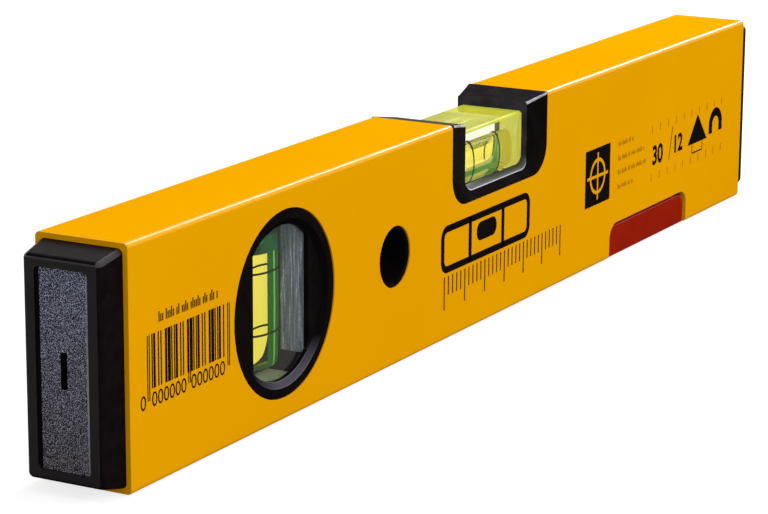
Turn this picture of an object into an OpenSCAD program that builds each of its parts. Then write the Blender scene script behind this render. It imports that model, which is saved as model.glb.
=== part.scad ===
// Magnetic spirit level, 30 cm.
// The level lies as it is used: X runs along its length, the printed face looks to -Y,
// Z points up, and the origin is the middle of the measuring face.

/* [Profile] */
// Length of the aluminium profile
profile_l = 300; // [290:1:600]
// Height of the profile
profile_h = 49; // [48:0.5:56]
// Width of the profile from front to rear
profile_w = 21; // [20:0.5:26]
// Wall of the profile
wall_t = 1.6; // [1.2:0.1:2]
// Radius of the profile's long outer edges
corner_r = 1; // [0.4:0.1:1.4]
// Radius of the long edges inside the profile
inner_r = 0.6; // [0.2:0.1:1]

/* [Top notch and level vial frame] */
// Place of the level vial along the profile
level_x = 3.4; // [-20:0.1:20]
// Width of the notch in the top of the profile
notch_w = 48.2; // [46:0.1:56]
// Depth of the notch
notch_d = 19.2; // [18.5:0.1:21]
// Radius of the notch's lower corners
notch_r = 7; // [5:0.1:9]
// Flush rim that the frame keeps along the notch
frame_rim = 0.4; // [0.2:0.1:1]
// Depth of the frame's sloping faces at the window
lip_d = 1.3; // [0.8:0.1:1.4]
// Drop of the post tops from the notch to the vial
post_drop = 1.4; // [0.4:0.1:2.5]
// Floor of the frame under the vial block
frame_floor = 1.2; // [0.9:0.1:1.6]
// Height of the bottom lip over the floor, at its front edge
lip_low = 0.4; // [0.2:0.1:1]
// Height of the bottom lip over the floor, at the vial block
lip_high = 2.2; // [1.4:0.1:2.6]
// Radius of the lower corners of the frame's window
lip_r = 3; // [1.5:0.1:4]
// Depth of the frame's skirt inside the profile
skirt_h = 6; // [3:0.5:8]
// Wall of the skirt
skirt_t = 1.4; // [1:0.1:2]
// Distance of the skirt from the ends of the notch
skirt_inset = 6; // [5:0.5:9]

/* [Level vial] */
// Length of the level vial block
level_l = 31; // [29:0.1:34]
// Width of the level vial block from front to rear
level_w = 15.8; // [13:0.1:16.2]
// Height of the level vial block
level_h = 14.5; // [13.6:0.1:15.5]
// Radius of the block's long top edges
level_edge_r = 0.7; // [0.5:0.1:2]
// Radius of the level chamber at its middle
level_r = 4.9; // [4:0.1:5.2]
// Length of the level chamber
level_chamber_l = 26; // [22:0.1:26.5]
// Height of the chamber's axis over the bottom of the block
level_axis = 5.8; // [5.6:0.1:6.4]
// Thickness of the plug's head
level_plug_t = 2; // [1:0.1:2.4]

/* [Plumb vial] */
// Distance of the plumb vial's middle from the left end of the profile
plumb_end = 56.8; // [46:0.1:66]
// Radius of the round window in both walls
window_r = 19.8; // [19:0.1:21.5]
// Wall of the drum that the bezels form inside the window
drum_t = 0.8; // [0.6:0.1:1.2]
// Depth of the bezel's face under the profile's face
bezel_sink = 0.25; // [0.1:0.05:0.6]
// Thickness of the bezel's plate
bezel_t = 2.05; // [1.2:0.05:2.6]
// Radius of the bezel's opening at the face
opening_r = 16.9; // [15:0.1:17.4]
// Radius of the bezel's opening at the vial block
opening_back_r = 16.2; // [14:0.1:16.8]
// Width of the bezel's opening between its straight sides
opening_w = 25.2; // [20:0.1:25.8]
// Width of the plumb vial block along the profile
plumb_w = 25.4; // [20:0.1:26.4]
// Height of the plumb vial block
plumb_h = 34; // [32:0.1:35]
// Radius of the plumb chamber at its middle
plumb_r = 5.4; // [4:0.1:5.8]
// Length of the plumb chamber
plumb_chamber_l = 28; // [24:0.1:28.5]
// Height of the liquid over the middle of the vial
plumb_fill = 10.5; // [9:0.1:11.5]
// Thickness of the plug's head
plumb_plug_t = 2.2; // [1:0.1:2.3]

/* [Vials] */
// Radius to which both chambers are ground along their length
barrel_r = 230; // [150:5:600]
// Radius of the corner at the closed end of a chamber
dome_r = 1.5; // [0.5:0.1:2.5]
// Distance between the two ring marks
mark_gap = 13; // [11:0.1:14]
// Width of a ring mark
mark_w = 0.4; // [0.2:0.05:0.8]
// Depth of a ring mark in the liquid
mark_t = 0.25; // [0.15:0.05:0.4]
// Depth of the groove that holds a ring mark
mark_groove = 0.1; // [0.05:0.05:0.3]
// Radius of the bubble's underside
bubble_r = 3.6; // [3:0.1:4]
// Depth of the bubble
bubble_d = 2.4; // [1.5:0.1:3]
// Space between the bubble's ends and the ring marks
bubble_slack = 0.5; // [0.2:0.1:2]
// Shoulder of the plug round the chamber
plug_shoulder = 0.9; // [0.6:0.1:1.2]
// Length of the plug's spigot in the chamber
plug_spigot = 1.4; // [0.6:0.1:2]

/* [Hang hole] */
// Distance of the hang hole's middle from the plumb vial's middle
hang_gap = 46; // [34:0.1:52]
// Radius of the hole in both walls
hang_r = 6.85; // [5.5:0.05:9]
// Radius of the bore through the sleeve
bore_r = 5.9; // [4:0.05:6]
// Depth of the sleeve's ends under the faces
sleeve_sink = 0.3; // [0:0.05:0.5]
// Chamfer at the mouths of the bore
mouth = 0.4; // [0.2:0.05:0.6]
// Height of the snap beads behind the walls
bead = 0.25; // [0.1:0.05:0.5]

/* [Magnet] */
// Distance of the magnet holder's middle from the right end of the profile
magnet_end = 60.9; // [46:0.1:80]
// Width of the notch in the bottom of the profile
slot_w = 48.4; // [44:0.1:56]
// Height of the notch
slot_h = 8.75; // [8.2:0.05:12]
// Radius of the notch's upper corners
slot_r = 4; // [2:0.1:6]
// Depth of the holder's faces under the profile's faces
holder_sink = 0.9; // [0.3:0.05:1.1]
// Height of the holder
holder_h = 7.7; // [7.2:0.1:7.9]
// Play between the holder and the ends of the notch
holder_play = 0.2; // [0.1:0.05:0.4]
// Height of the tongue over the holder
tongue_h = 5; // [2:0.5:8]
// Wall round the magnets
holder_t = 3; // [2:0.1:4]
// Roof over the yoke
holder_roof = 1.2; // [0.8:0.1:1.6]
// Web between the magnets
holder_web = 2; // [1:0.1:4]
// Reach of the snap hooks over the bottom wall
hook = 0.9; // [0.5:0.1:1.4]
// Thickness of the magnets
magnet_t = 5; // [3:0.1:5.4]
// Thickness of the steel yoke
yoke_t = 1.8; // [1:0.1:2]
// Depth of the magnets under the measuring face
magnet_sink = 0.2; // [0.1:0.05:0.5]

/* [End caps] */
// Length of a cap outside the profile
cap_l = 6.8; // [5:0.1:12]
// Edge of the profile that a cap leaves free
cap_inset = 1.1; // [0.8:0.1:1.3]
// Draft of a cap's front and rear sides
cap_side_draft = 0.6; // [0.2:0.1:1.5]
// Draft of a cap's top and bottom sides
cap_top_draft = 1.3; // [0.2:0.1:2]
// Radius of a cap's outer edges
cap_r = 1.2; // [0.6:0.1:1.6]
// Rim over and under the panel in a cap's end face
cap_rim = 2.3; // [1.8:0.1:3]
// Rim in front of and behind the panel
cap_side_rim = 2.8; // [1.8:0.1:3.4]
// Depth of the panel
panel_d = 0.6; // [0.3:0.1:1]
// Radius of the panel's corners
panel_r = 1; // [0.5:0.1:2]
// Height of the slot in the panel
slit_h = 7.2; // [4:0.1:12]
// Width of the slot in the panel
slit_w = 1.5; // [1:0.1:2.5]
// Wall of a cap
cap_t = 1.8; // [1.2:0.1:2.2]
// Length of a cap's plug inside the profile
plug_l = 12; // [8:0.5:18]
// Lead-in chamfer at the tip of the plug
plug_lead = 1; // [0.5:0.1:1.4]
// Radius of the crush ribs on the plug
rib_r = 0.5; // [0.3:0.05:0.6]

/* [Fits] */
// Clearance between plastic pieces and the profile
fit = 0.15; // [0.05:0.05:0.25]
// Clearance round the vial blocks
vial_fit = 0.1; // [0.05:0.05:0.15]

/* [Hidden] */

$fn = 64;
eps = 0.01;
over = 1;

// Profile
mid_z = profile_h / 2;
face_y = profile_w / 2;
cavity_w = profile_w - 2 * wall_t;
cavity_h = profile_h - 2 * wall_t;

// Level vial frame and block
notch_z = profile_h - notch_d;
floor_z = notch_z + frame_floor;
level_axis_z = floor_z + vial_fit + level_axis;
pocket_l = level_l + 2 * vial_fit;
pocket_w = level_w + 2 * vial_fit;
lip_t = (profile_w - pocket_w) / 2;

// Chambers
mark_x = mark_gap / 2;
level_open = level_chamber_l / 2;
plumb_open = plumb_chamber_l / 2;

// Plumb vial
plumb_x = plumb_end - profile_l / 2;
drum_r = window_r - fit;
drum_in_r = drum_r - drum_t;
plumb_d = profile_w - 2 * (bezel_sink + bezel_t);

// Hang hole
hang_x = plumb_x + hang_gap;

// Magnet
magnet_x = profile_l / 2 - magnet_end;
holder_w = slot_w - 2 * holder_play;
holder_d = profile_w - 2 * holder_sink;
yoke_z = magnet_sink + magnet_t;
nest_l = holder_w - 2 * holder_t;
nest_w = holder_d - 2 * holder_t;
magnet_l = (nest_l - holder_web) / 2 - fit;
magnet_w = nest_w - 2 * fit;

// Extrudes a Y-Z outline along X, from X = 0.
module along_x(l) {
    rotate([90, 0, 90])
        linear_extrude(l)
            children();
}

// Extrudes an X-Z outline along Y, centred.
module along_y(l) {
    rotate([90, 0, 0])
        linear_extrude(l, center = true)
            children();
}

// A rectangle with round corners, centred.
module round_rect(w, h, r) {
    square([w - 2 * r, h], center = true);
    square([w, h - 2 * r], center = true);
    for (sx = [-1, 1], sy = [-1, 1])
        translate([sx * (w / 2 - r), sy * (h / 2 - r)])
            circle(r);
}

// A notch that goes down from the X axis, with round lower corners and an open mouth.
module notch_outline(w, d, r, mouth_h) {
    translate([-w / 2, r - d])
        square([w, d - r + mouth_h]);
    translate([r - w / 2, -d])
        square([w - 2 * r, d]);
    for (s = [-1, 1])
        translate([s * (w / 2 - r), r - d])
            circle(r);
}

// A thin slice of the frame's window outline, its floor at height z.
module window_slice(w, z, r, y) {
    translate([0, y, profile_h])
        along_y(eps)
            notch_outline(w, profile_h - z, r, over);
}

// A chamber along X with a barrel-shaped wall, its closed end at -X and its open end at +X.
module chamber(r, l) {
    end_r = r - barrel_r + sqrt(barrel_r * barrel_r - l * l / 4);
    rotate([0, 90, 0]) {
        rotate_extrude($fn = 96)
            intersection() {
                translate([r - barrel_r, 0])
                    circle(barrel_r, $fn = 720);
                translate([0, dome_r - l / 2])
                    square([r + over, l - dome_r]);
            }
        translate([0, 0, -l / 2])
            rotate_extrude($fn = 96) {
                square([end_r - dome_r, dome_r + eps]);
                intersection() {
                    translate([end_r - dome_r, dome_r])
                        circle(dome_r);
                    square([end_r, dome_r + eps]);
                }
            }
    }
}

// A ring mark round a chamber, at a place along X.
module mark(r, x) {
    translate([x - mark_w / 2, 0, 0])
        rotate([0, 90, 0])
            difference() {
                cylinder(r = r + mark_groove, h = mark_w, $fn = 96);
                translate([0, 0, -over])
                    cylinder(r = r - mark_t, h = mark_w + 2 * over, $fn = 96);
            }
}

// The plug that closes a chamber: a head in a counterbore and a spigot in the bore.
module plug(r, open_x, block_x, head_t) {
    spigot_r = r - plug_shoulder;
    rotate([0, 90, 0]) {
        translate([0, 0, block_x - head_t])
            cylinder(r = r + plug_shoulder, h = head_t, $fn = 96);
        translate([0, 0, open_x - plug_spigot])
            cylinder(r = spigot_r, h = block_x - open_x + plug_spigot - eps, $fn = 96);
    }
}

// The whole hollow of a vial: the chamber, the bore behind it and the seat of the plug.
module vial_hollow(r, l, block_x, head_t) {
    chamber(r, l);
    rotate([0, 90, 0]) {
        translate([0, 0, l / 2 - eps])
            cylinder(r = r - plug_shoulder, h = block_x - l / 2, $fn = 96);
        translate([0, 0, block_x - head_t])
            cylinder(r = r + plug_shoulder, h = head_t + over, $fn = 96);
    }
}

module profile() {
    color([0.95, 0.66, 0.02])
        difference() {
            translate([-profile_l / 2, 0, mid_z])
                along_x(profile_l)
                    difference() {
                        round_rect(profile_w, profile_h, corner_r);
                        round_rect(cavity_w, cavity_h, inner_r);
                    }
            translate([plumb_x, 0, mid_z])
                rotate([90, 0, 0])
                    cylinder(r = window_r, h = profile_w + 2 * over, center = true, $fn = 128);
            translate([hang_x, 0, mid_z])
                rotate([90, 0, 0])
                    cylinder(r = hang_r, h = profile_w + 2 * over, center = true);
            translate([level_x, 0, profile_h])
                along_y(profile_w + 2 * over)
                    notch_outline(notch_w, notch_d, notch_r, over);
            translate([magnet_x, 0, 0])
                along_y(profile_w + 2 * over)
                    mirror([0, 1])
                        notch_outline(slot_w, slot_h, slot_r, over);
        }
}

// The cap of the +X end, with the end of the profile at X = 0.
module cap() {
    base_w = profile_w - 2 * cap_inset;
    base_h = profile_h - 2 * cap_inset;
    end_w = base_w - 2 * cap_side_draft;
    end_h = base_h - 2 * cap_top_draft;
    plug_w = cavity_w - 2 * fit;
    plug_h = cavity_h - 2 * fit;
    difference() {
        union() {
            hull() {
                along_x(eps)
                    round_rect(base_w, base_h, cap_r);
                for (sy = [-1, 1], sz = [-1, 1])
                    translate([cap_l - cap_r, sy * (end_w / 2 - cap_r), sz * (end_h / 2 - cap_r)])
                        sphere(cap_r, $fn = 32);
            }
            translate([-plug_l, 0, 0])
                along_x(plug_l + eps)
                    round_rect(plug_w, plug_h, inner_r);
            cap_ribs(plug_w, plug_h);
        }
        // panel in the end face
        translate([cap_l - panel_d, 0, 0])
            along_x(over)
                round_rect(end_w - 2 * cap_side_rim, end_h - 2 * cap_rim, panel_r);
        // slot in the panel
        translate([cap_l - cap_t - panel_d - over, -slit_w / 2, -slit_h / 2])
            cube([cap_t + over + eps, slit_w, slit_h]);
        // hollow of the moulding
        translate([-plug_l - over, 0, 0])
            along_x(plug_l + over + cap_l - panel_d - cap_t)
                round_rect(plug_w - 2 * cap_t, plug_h - 2 * cap_t, inner_r);
        // lead-in round the tip of the plug
        for (s = [-1, 1]) {
            translate([-plug_l, s * plug_w / 2, 0])
                rotate([0, 0, 45])
                    cube([plug_lead, plug_lead, plug_h + over], center = true);
            translate([-plug_l, 0, s * plug_h / 2])
                rotate([0, 45, 0])
                    cube([plug_lead, plug_w + over, plug_lead], center = true);
        }
    }
}

// Crush ribs that hold the plug: two on each side and one on the top and the bottom.
module cap_ribs(plug_w, plug_h) {
    rib_l = plug_l - 2 * plug_lead;
    rib_sink = rib_r - fit * 0.8;
    for (sy = [-1, 1], sz = [-1, 1])
        translate([-rib_l, sy * (plug_w / 2 - rib_sink), sz * plug_h / 4])
            rotate([0, 90, 0])
                cylinder(r = rib_r, h = rib_l);
    for (sz = [-1, 1])
        translate([-rib_l, 0, sz * (plug_h / 2 - rib_sink)])
            rotate([0, 90, 0])
                cylinder(r = rib_r, h = rib_l);
}

module right_end_cap() {
    color([0.1, 0.1, 0.11])
        translate([profile_l / 2, 0, mid_z])
            cap();
}

module left_end_cap() {
    color([0.1, 0.1, 0.11])
        translate([-profile_l / 2, 0, mid_z])
            mirror([1, 0, 0])
                cap();
}

// The U-shaped frame in the top notch. Its faces slope in from the notch to the vial.
module level_vial_frame() {
    color([0.09, 0.09, 0.1])
        translate([level_x, 0, 0])
            difference() {
                union() {
                    translate([0, 0, profile_h])
                        along_y(profile_w)
                            notch_outline(notch_w - 2 * fit, notch_d - fit, notch_r - fit, 0);
                    frame_skirt();
                }
                // pocket of the vial block
                translate([-pocket_l / 2, -pocket_w / 2, floor_z])
                    cube([pocket_l, pocket_w, profile_h]);
                // slope of the post tops
                along_y(profile_w + 2 * over)
                    for (s = [-1, 1])
                        polygon([[0, profile_h - post_drop], [s * pocket_l / 2, profile_h - post_drop],
                            [s * notch_w / 2, profile_h], [s * notch_w / 2, profile_h + over],
                            [0, profile_h + over]]);
                // slopes of the front and rear faces, and of the lips inside them
                for (s = [-1, 1])
                    mirror([0, s > 0 ? 1 : 0, 0]) {
                        hull() {
                            window_slice(notch_w - 2 * frame_rim, notch_z + frame_rim,
                                notch_r - frame_rim, -face_y - eps);
                            window_slice(pocket_l, floor_z + lip_low, lip_r, lip_d - face_y);
                        }
                        hull() {
                            window_slice(pocket_l, floor_z + lip_low, lip_r, lip_d - face_y - eps);
                            window_slice(pocket_l, floor_z + lip_high, lip_r, lip_t - face_y + eps);
                        }
                    }
            }
}

// The skirt that steadies the frame between the walls of the profile.
module frame_skirt() {
    skirt_l = notch_w - 2 * skirt_inset;
    skirt_w = cavity_w - 2 * fit;
    translate([-skirt_l / 2, -skirt_w / 2, notch_z - skirt_h])
        difference() {
            cube([skirt_l, skirt_w, skirt_h + frame_floor]);
            translate([skirt_t, skirt_t, -over])
                cube([skirt_l - 2 * skirt_t, skirt_w - 2 * skirt_t, skirt_h + over]);
        }
}

module at_level_vial() {
    translate([level_x, 0, level_axis_z])
        children();
}

module level_hollow() {
    vial_hollow(level_r, level_chamber_l, level_l / 2, level_plug_t);
    for (s = [-1, 1])
        mark(level_r, s * mark_x);
}

module level_vial_block() {
    color([0.8, 0.82, 0.2, 0.6])
        at_level_vial()
            difference() {
                translate([-level_l / 2, 0, -level_axis])
                    along_x(level_l) {
                        translate([-level_w / 2, 0])
                            square([level_w, level_h - level_edge_r]);
                        translate([level_edge_r - level_w / 2, 0])
                            square([level_w - 2 * level_edge_r, level_h]);
                        for (s = [-1, 1])
                            translate([s * (level_w / 2 - level_edge_r), level_h - level_edge_r])
                                circle(level_edge_r);
                    }
                level_hollow();
            }
}

module level_vial_plug() {
    color([0.75, 0.78, 0.25, 0.7])
        at_level_vial()
            plug(level_r, level_open, level_l / 2, level_plug_t);
}

// The liquid leaves the bubble free at the top of the chamber, centred between the marks.
module level_vial_liquid() {
    span = mark_gap - mark_w - 2 * bubble_slack - 2 * bubble_r;
    color([0.45, 0.8, 0.15, 0.7])
        at_level_vial()
            difference() {
                chamber(level_r, level_chamber_l);
                plug(level_r, level_open, level_l / 2, level_plug_t);
                for (s = [-1, 1])
                    mark(level_r, s * mark_x);
                translate([0, 0, level_r - bubble_d + bubble_r]) {
                    rotate([0, 90, 0])
                        cylinder(r = bubble_r, h = span, center = true);
                    for (s = [-1, 1])
                        translate([s * span / 2, 0, 0])
                            sphere(bubble_r);
                }
            }
}

module level_left_mark() {
    color([0.05, 0.05, 0.05])
        at_level_vial()
            mark(level_r, -mark_x);
}

module level_right_mark() {
    color([0.05, 0.05, 0.05])
        at_level_vial()
            mark(level_r, mark_x);
}

// Turns a vial from X to Z, with its plug at the top, and sets it in the round window.
module at_plumb_vial() {
    translate([plumb_x, 0, mid_z])
        rotate([0, -90, 0])
            children();
}

module plumb_hollow() {
    vial_hollow(plumb_r, plumb_chamber_l, plumb_h / 2, plumb_plug_t);
    for (s = [-1, 1])
        mark(plumb_r, s * mark_x);
}

// The front bezel: a plate with the opening and half of the drum that holds the vial block.
module bezel() {
    plate_y = bezel_sink - face_y;
    translate([plumb_x, 0, mid_z])
        difference() {
            translate([0, plate_y, 0])
                rotate([-90, 0, 0])
                    cylinder(r = drum_r, h = face_y - bezel_sink, $fn = 128);
            translate([0, plate_y + bezel_t, 0])
                rotate([-90, 0, 0])
                    cylinder(r = drum_in_r, h = face_y, $fn = 128);
            intersection() {
                translate([0, plate_y - eps, 0])
                    rotate([-90, 0, 0])
                        cylinder(r1 = opening_r, r2 = opening_back_r, h = bezel_t + 2 * eps, $fn = 128);
                cube([opening_w, 2 * profile_w, 2 * profile_h], center = true);
            }
        }
}

module plumb_front_bezel() {
    color([0.09, 0.09, 0.1])
        bezel();
}

module plumb_rear_bezel() {
    color([0.09, 0.09, 0.1])
        mirror([0, 1, 0])
            bezel();
}

// The plumb vial block: straight sides, and corners that follow the drum.
module plumb_vial_block() {
    color([0.8, 0.85, 0.3, 0.6])
        difference() {
            translate([plumb_x, 0, mid_z])
                along_y(plumb_d)
                    intersection() {
                        square([plumb_w, plumb_h], center = true);
                        circle(drum_in_r - vial_fit, $fn = 128);
                    }
            at_plumb_vial()
                plumb_hollow();
        }
}

module plumb_vial_plug() {
    color([0.7, 0.78, 0.3, 0.7])
        at_plumb_vial()
            plug(plumb_r, plumb_open, plumb_h / 2, plumb_plug_t);
}

// The liquid stands upright here, so its bubble is the free space over it.
module plumb_vial_liquid() {
    color([0.3, 0.75, 0.15, 0.7])
        at_plumb_vial()
            difference() {
                chamber(plumb_r, plumb_chamber_l);
                for (s = [-1, 1])
                    mark(plumb_r, s * mark_x);
                translate([plumb_fill, -profile_w, -profile_w])
                    cube([profile_h, 2 * profile_w, 2 * profile_w]);
            }
}

module plumb_upper_mark() {
    color([0.05, 0.05, 0.05])
        at_plumb_vial()
            mark(plumb_r, mark_x);
}

module plumb_lower_mark() {
    color([0.05, 0.05, 0.05])
        at_plumb_vial()
            mark(plumb_r, -mark_x);
}

// Casting resin between the block's right side and the drum.
module resin() {
    translate([plumb_x, 0, mid_z])
        along_y(plumb_d)
            intersection() {
                circle(drum_in_r, $fn = 128);
                translate([plumb_w / 2, -plumb_h / 2])
                    square([window_r, plumb_h]);
            }
}

module plumb_right_resin() {
    color([0.62, 0.65, 0.68])
        resin();
}

module plumb_left_resin() {
    color([0.62, 0.65, 0.68])
        translate([2 * plumb_x, 0, 0])
            mirror([1, 0, 0])
                resin();
}

// The sleeve through the hang hole, with a bead behind each wall.
module hang_hole_sleeve() {
    sleeve_l = profile_w - 2 * sleeve_sink;
    sleeve_r = hang_r - fit;
    color([0.09, 0.09, 0.1])
        translate([hang_x, 0, mid_z])
            rotate([90, 0, 0])
                difference() {
                    union() {
                        cylinder(r = sleeve_r, h = sleeve_l, center = true);
                        for (s = [-1, 1])
                            translate([0, 0, s * (cavity_w / 2 - bead - fit)])
                                rotate_extrude()
                                    translate([sleeve_r, 0])
                                        circle(bead + fit, $fn = 24);
                    }
                    cylinder(r = bore_r, h = sleeve_l + 2 * over, center = true);
                    for (s = [0, 1])
                        mirror([0, 0, s])
                            translate([0, 0, sleeve_l / 2 - mouth])
                                cylinder(r1 = bore_r, r2 = bore_r + mouth, h = mouth + eps);
                }
}

// The red holder that snaps into the bottom notch and carries the magnets.
module magnet_holder() {
    tongue_l = holder_w - 2 * slot_r;
    tongue_w = cavity_w - 2 * fit;
    color([0.62, 0.1, 0.06])
        translate([magnet_x, 0, 0])
            difference() {
                union() {
                    along_y(holder_d)
                        mirror([0, 1])
                            notch_outline(holder_w, holder_h, slot_r - holder_play, 0);
                    translate([-tongue_l / 2, -tongue_w / 2, holder_h - eps])
                        cube([tongue_l, tongue_w, tongue_h + eps]);
                    // hooks over the bottom wall
                    along_y(nest_w)
                        for (s = [-1, 1])
                            polygon([[s * (holder_w / 2 - eps), wall_t + fit],
                                [s * (holder_w / 2 + hook), wall_t + fit],
                                [s * (holder_w / 2 - eps), wall_t + fit + 2 * hook]]);
                }
                // nest of the magnets, open at the measuring face
                for (s = [-1, 1])
                    translate([s * (nest_l + holder_web) / 4, 0, 0])
                        cube([(nest_l - holder_web) / 2, nest_w, 2 * yoke_z], center = true);
                translate([0, 0, yoke_z + yoke_t / 2])
                    cube([nest_l, nest_w, yoke_t + eps], center = true);
                // hollow of the tongue
                translate([-tongue_l / 2 + holder_roof, -tongue_w / 2 + holder_roof,
                        yoke_z + yoke_t + holder_roof])
                    cube([tongue_l - 2 * holder_roof, tongue_w - 2 * holder_roof, profile_h]);
            }
}

module magnet_yoke() {
    color([0.6, 0.6, 0.62])
        translate([magnet_x, 0, yoke_z + yoke_t / 2])
            cube([nest_l - 2 * fit, magnet_w, yoke_t], center = true);
}

module magnet_at(side) {
    translate([magnet_x + side * (nest_l + holder_web) / 4, 0, magnet_sink + magnet_t / 2])
        cube([magnet_l, magnet_w, magnet_t], center = true);
}

module left_magnet() {
    color([0.7, 0.7, 0.72])
        magnet_at(-1);
}

module right_magnet() {
    color([0.7, 0.7, 0.72])
        magnet_at(1);
}

profile();
left_end_cap();
right_end_cap();
level_vial_frame();
level_vial_block();
level_vial_plug();
level_vial_liquid();
level_left_mark();
level_right_mark();
plumb_front_bezel();
plumb_rear_bezel();
plumb_vial_block();
plumb_vial_plug();
plumb_vial_liquid();
plumb_upper_mark();
plumb_lower_mark();
plumb_left_resin();
plumb_right_resin();
hang_hole_sleeve();
magnet_holder();
magnet_yoke();
left_magnet();
right_magnet();
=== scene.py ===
# %% [markdown]
# A magnetic spirit level, 30 cm long
#
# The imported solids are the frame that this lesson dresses: a yellow box profile with two black
# caps, a level vial in the top notch, a plumb vial in a round window, a sleeve through the hang
# hole and a red magnet holder. A solid whose form is right keeps its mesh and gets a finish. A
# solid whose edges catch the light is copied, and the copy's edges are rounded. Clear pieces are
# modelled again, because light bends at the one surface where acrylic meets liquid, and the
# solids have two surfaces in that place.

# %% Load the frame
from math import cos, pi, radians, sin, sqrt

import bpy
from mathutils import Matrix, Vector


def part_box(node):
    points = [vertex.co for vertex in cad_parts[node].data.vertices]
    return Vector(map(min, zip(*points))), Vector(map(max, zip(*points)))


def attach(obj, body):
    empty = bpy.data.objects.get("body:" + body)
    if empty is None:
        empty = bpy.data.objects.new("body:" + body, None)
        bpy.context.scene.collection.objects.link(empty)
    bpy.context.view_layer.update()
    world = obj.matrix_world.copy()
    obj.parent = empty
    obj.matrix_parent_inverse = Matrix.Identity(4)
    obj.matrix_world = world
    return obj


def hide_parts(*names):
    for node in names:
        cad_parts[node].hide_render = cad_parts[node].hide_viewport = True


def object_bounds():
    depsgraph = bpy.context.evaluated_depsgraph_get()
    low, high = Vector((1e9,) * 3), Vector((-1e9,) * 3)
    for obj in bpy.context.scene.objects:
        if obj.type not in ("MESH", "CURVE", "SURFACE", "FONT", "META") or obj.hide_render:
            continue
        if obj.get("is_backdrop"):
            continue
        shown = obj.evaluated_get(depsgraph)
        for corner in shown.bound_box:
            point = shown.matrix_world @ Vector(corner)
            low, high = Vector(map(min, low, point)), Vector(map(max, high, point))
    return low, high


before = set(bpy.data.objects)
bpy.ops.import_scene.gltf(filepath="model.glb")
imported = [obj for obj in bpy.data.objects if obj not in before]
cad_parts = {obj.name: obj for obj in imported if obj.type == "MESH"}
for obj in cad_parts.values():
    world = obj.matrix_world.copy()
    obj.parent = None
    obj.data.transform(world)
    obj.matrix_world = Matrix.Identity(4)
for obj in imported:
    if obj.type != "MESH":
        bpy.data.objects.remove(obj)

cad_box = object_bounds()
MM = 0.001
print("solids:", len(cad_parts), "box in mm:", [round(v / MM, 1) for v in (*cad_box[0], *cad_box[1])])

# %% [markdown]
# Where things are
#
# Places are read from the boxes of the solids, so that the looks follow the frame: the profile's
# box gives its faces, the vial blocks' boxes give the acrylic, and the boxes of the liquids give
# the chambers. A size that no box gives is named in the cell that needs it.

# %% Measure the frame
profile_low, profile_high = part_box("profile")
face_y, top_z = profile_low.y, profile_high.z
level_low, level_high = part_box("level_vial_block")
level_wet_low, level_wet_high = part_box("level_vial_liquid")
plumb_low, plumb_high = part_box("plumb_vial_block")
plumb_middle = (plumb_low + plumb_high) / 2
plumb_wet_low, plumb_wet_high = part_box("plumb_vial_liquid")
print("front face at y", round(face_y / MM, 2), "mm, top at z", round(top_z / MM, 2), "mm")

# %% [markdown]
# The camera
#
# The picture is taken from the left, a little above the level, with a long lens, so that the far
# end stays large. The camera's place is given in the level's own frame. Its turn is a yaw about
# the vertical, a pitch downwards and a very small roll. Blender could take these as Euler angles,
# but the three axes are worked out here, because a camera's axes are easier to check one by one.

# %% Set up the camera
VIEW_PLACE = Vector((-0.5766, -0.3015, 0.1741))
VIEW_YAW, VIEW_PITCH, VIEW_ROLL = radians(29.03), radians(13.91), radians(0.3)
LENS_MM = 134.3

forward = Vector((cos(VIEW_YAW) * cos(VIEW_PITCH), sin(VIEW_YAW) * cos(VIEW_PITCH), -sin(VIEW_PITCH)))
side = Vector((sin(VIEW_YAW), -cos(VIEW_YAW), 0))
above = side.cross(forward)
right = side * cos(VIEW_ROLL) + above * sin(VIEW_ROLL)
up = above * cos(VIEW_ROLL) - side * sin(VIEW_ROLL)

camera = bpy.data.objects.new("camera", bpy.data.cameras.new("camera"))
camera.data.lens = LENS_MM
camera.data.clip_start, camera.data.clip_end = 0.01, 20
camera.matrix_world = Matrix.Translation(VIEW_PLACE) @ Matrix((right, up, -forward)).transposed().to_4x4()
bpy.context.scene.collection.objects.link(camera)
bpy.context.scene.camera = camera
bpy.context.scene.view_settings.view_transform = "Standard"
print("camera", round(VIEW_PLACE.length, 3), "m from the origin")

# %% [markdown]
# Shader maths as expressions
#
# A finish is a few patterns that are added, multiplied and mixed. `Pattern` wraps the output of a
# node, and its operators add Math nodes, so that `1 - grain` can be written as it is read. The
# nodes could be linked one by one instead, but a formula of five terms would then fill a page.

# %% Write the class for patterns
class Pattern:
    """The output of a shader node, with operators that add Math nodes."""

    def __init__(self, finish, output):
        self.finish, self.output = finish, output

    def math(self, operation, first, second=0.0):
        return self.finish.node("ShaderNodeMath", {"operation": operation}, {0: first, 1: second})

    def __add__(self, other):
        return self.math("ADD", self, other)

    def __mul__(self, other):
        return self.math("MULTIPLY", self, other)

    def __sub__(self, other):
        return self.math("SUBTRACT", self, other)

    def __rsub__(self, other):
        return self.math("SUBTRACT", other, self)

    def __gt__(self, limit):
        return self.math("GREATER_THAN", self, limit)

    def __lt__(self, limit):
        return self.math("LESS_THAN", self, limit)

    def __abs__(self):
        return self.math("ABSOLUTE", self)

    __radd__, __rmul__ = __add__, __mul__

# %% [markdown]
# One class for every finish
#
# `Finish` holds one material. Its `node` method makes any node: the settings come first, because
# some of them change which sockets a node has, and then each socket gets a value or a link. The
# other methods are short names for the nodes that come back in many finishes. All patterns are
# laid out in Object coordinates, so that they keep their real size on every piece.

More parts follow.
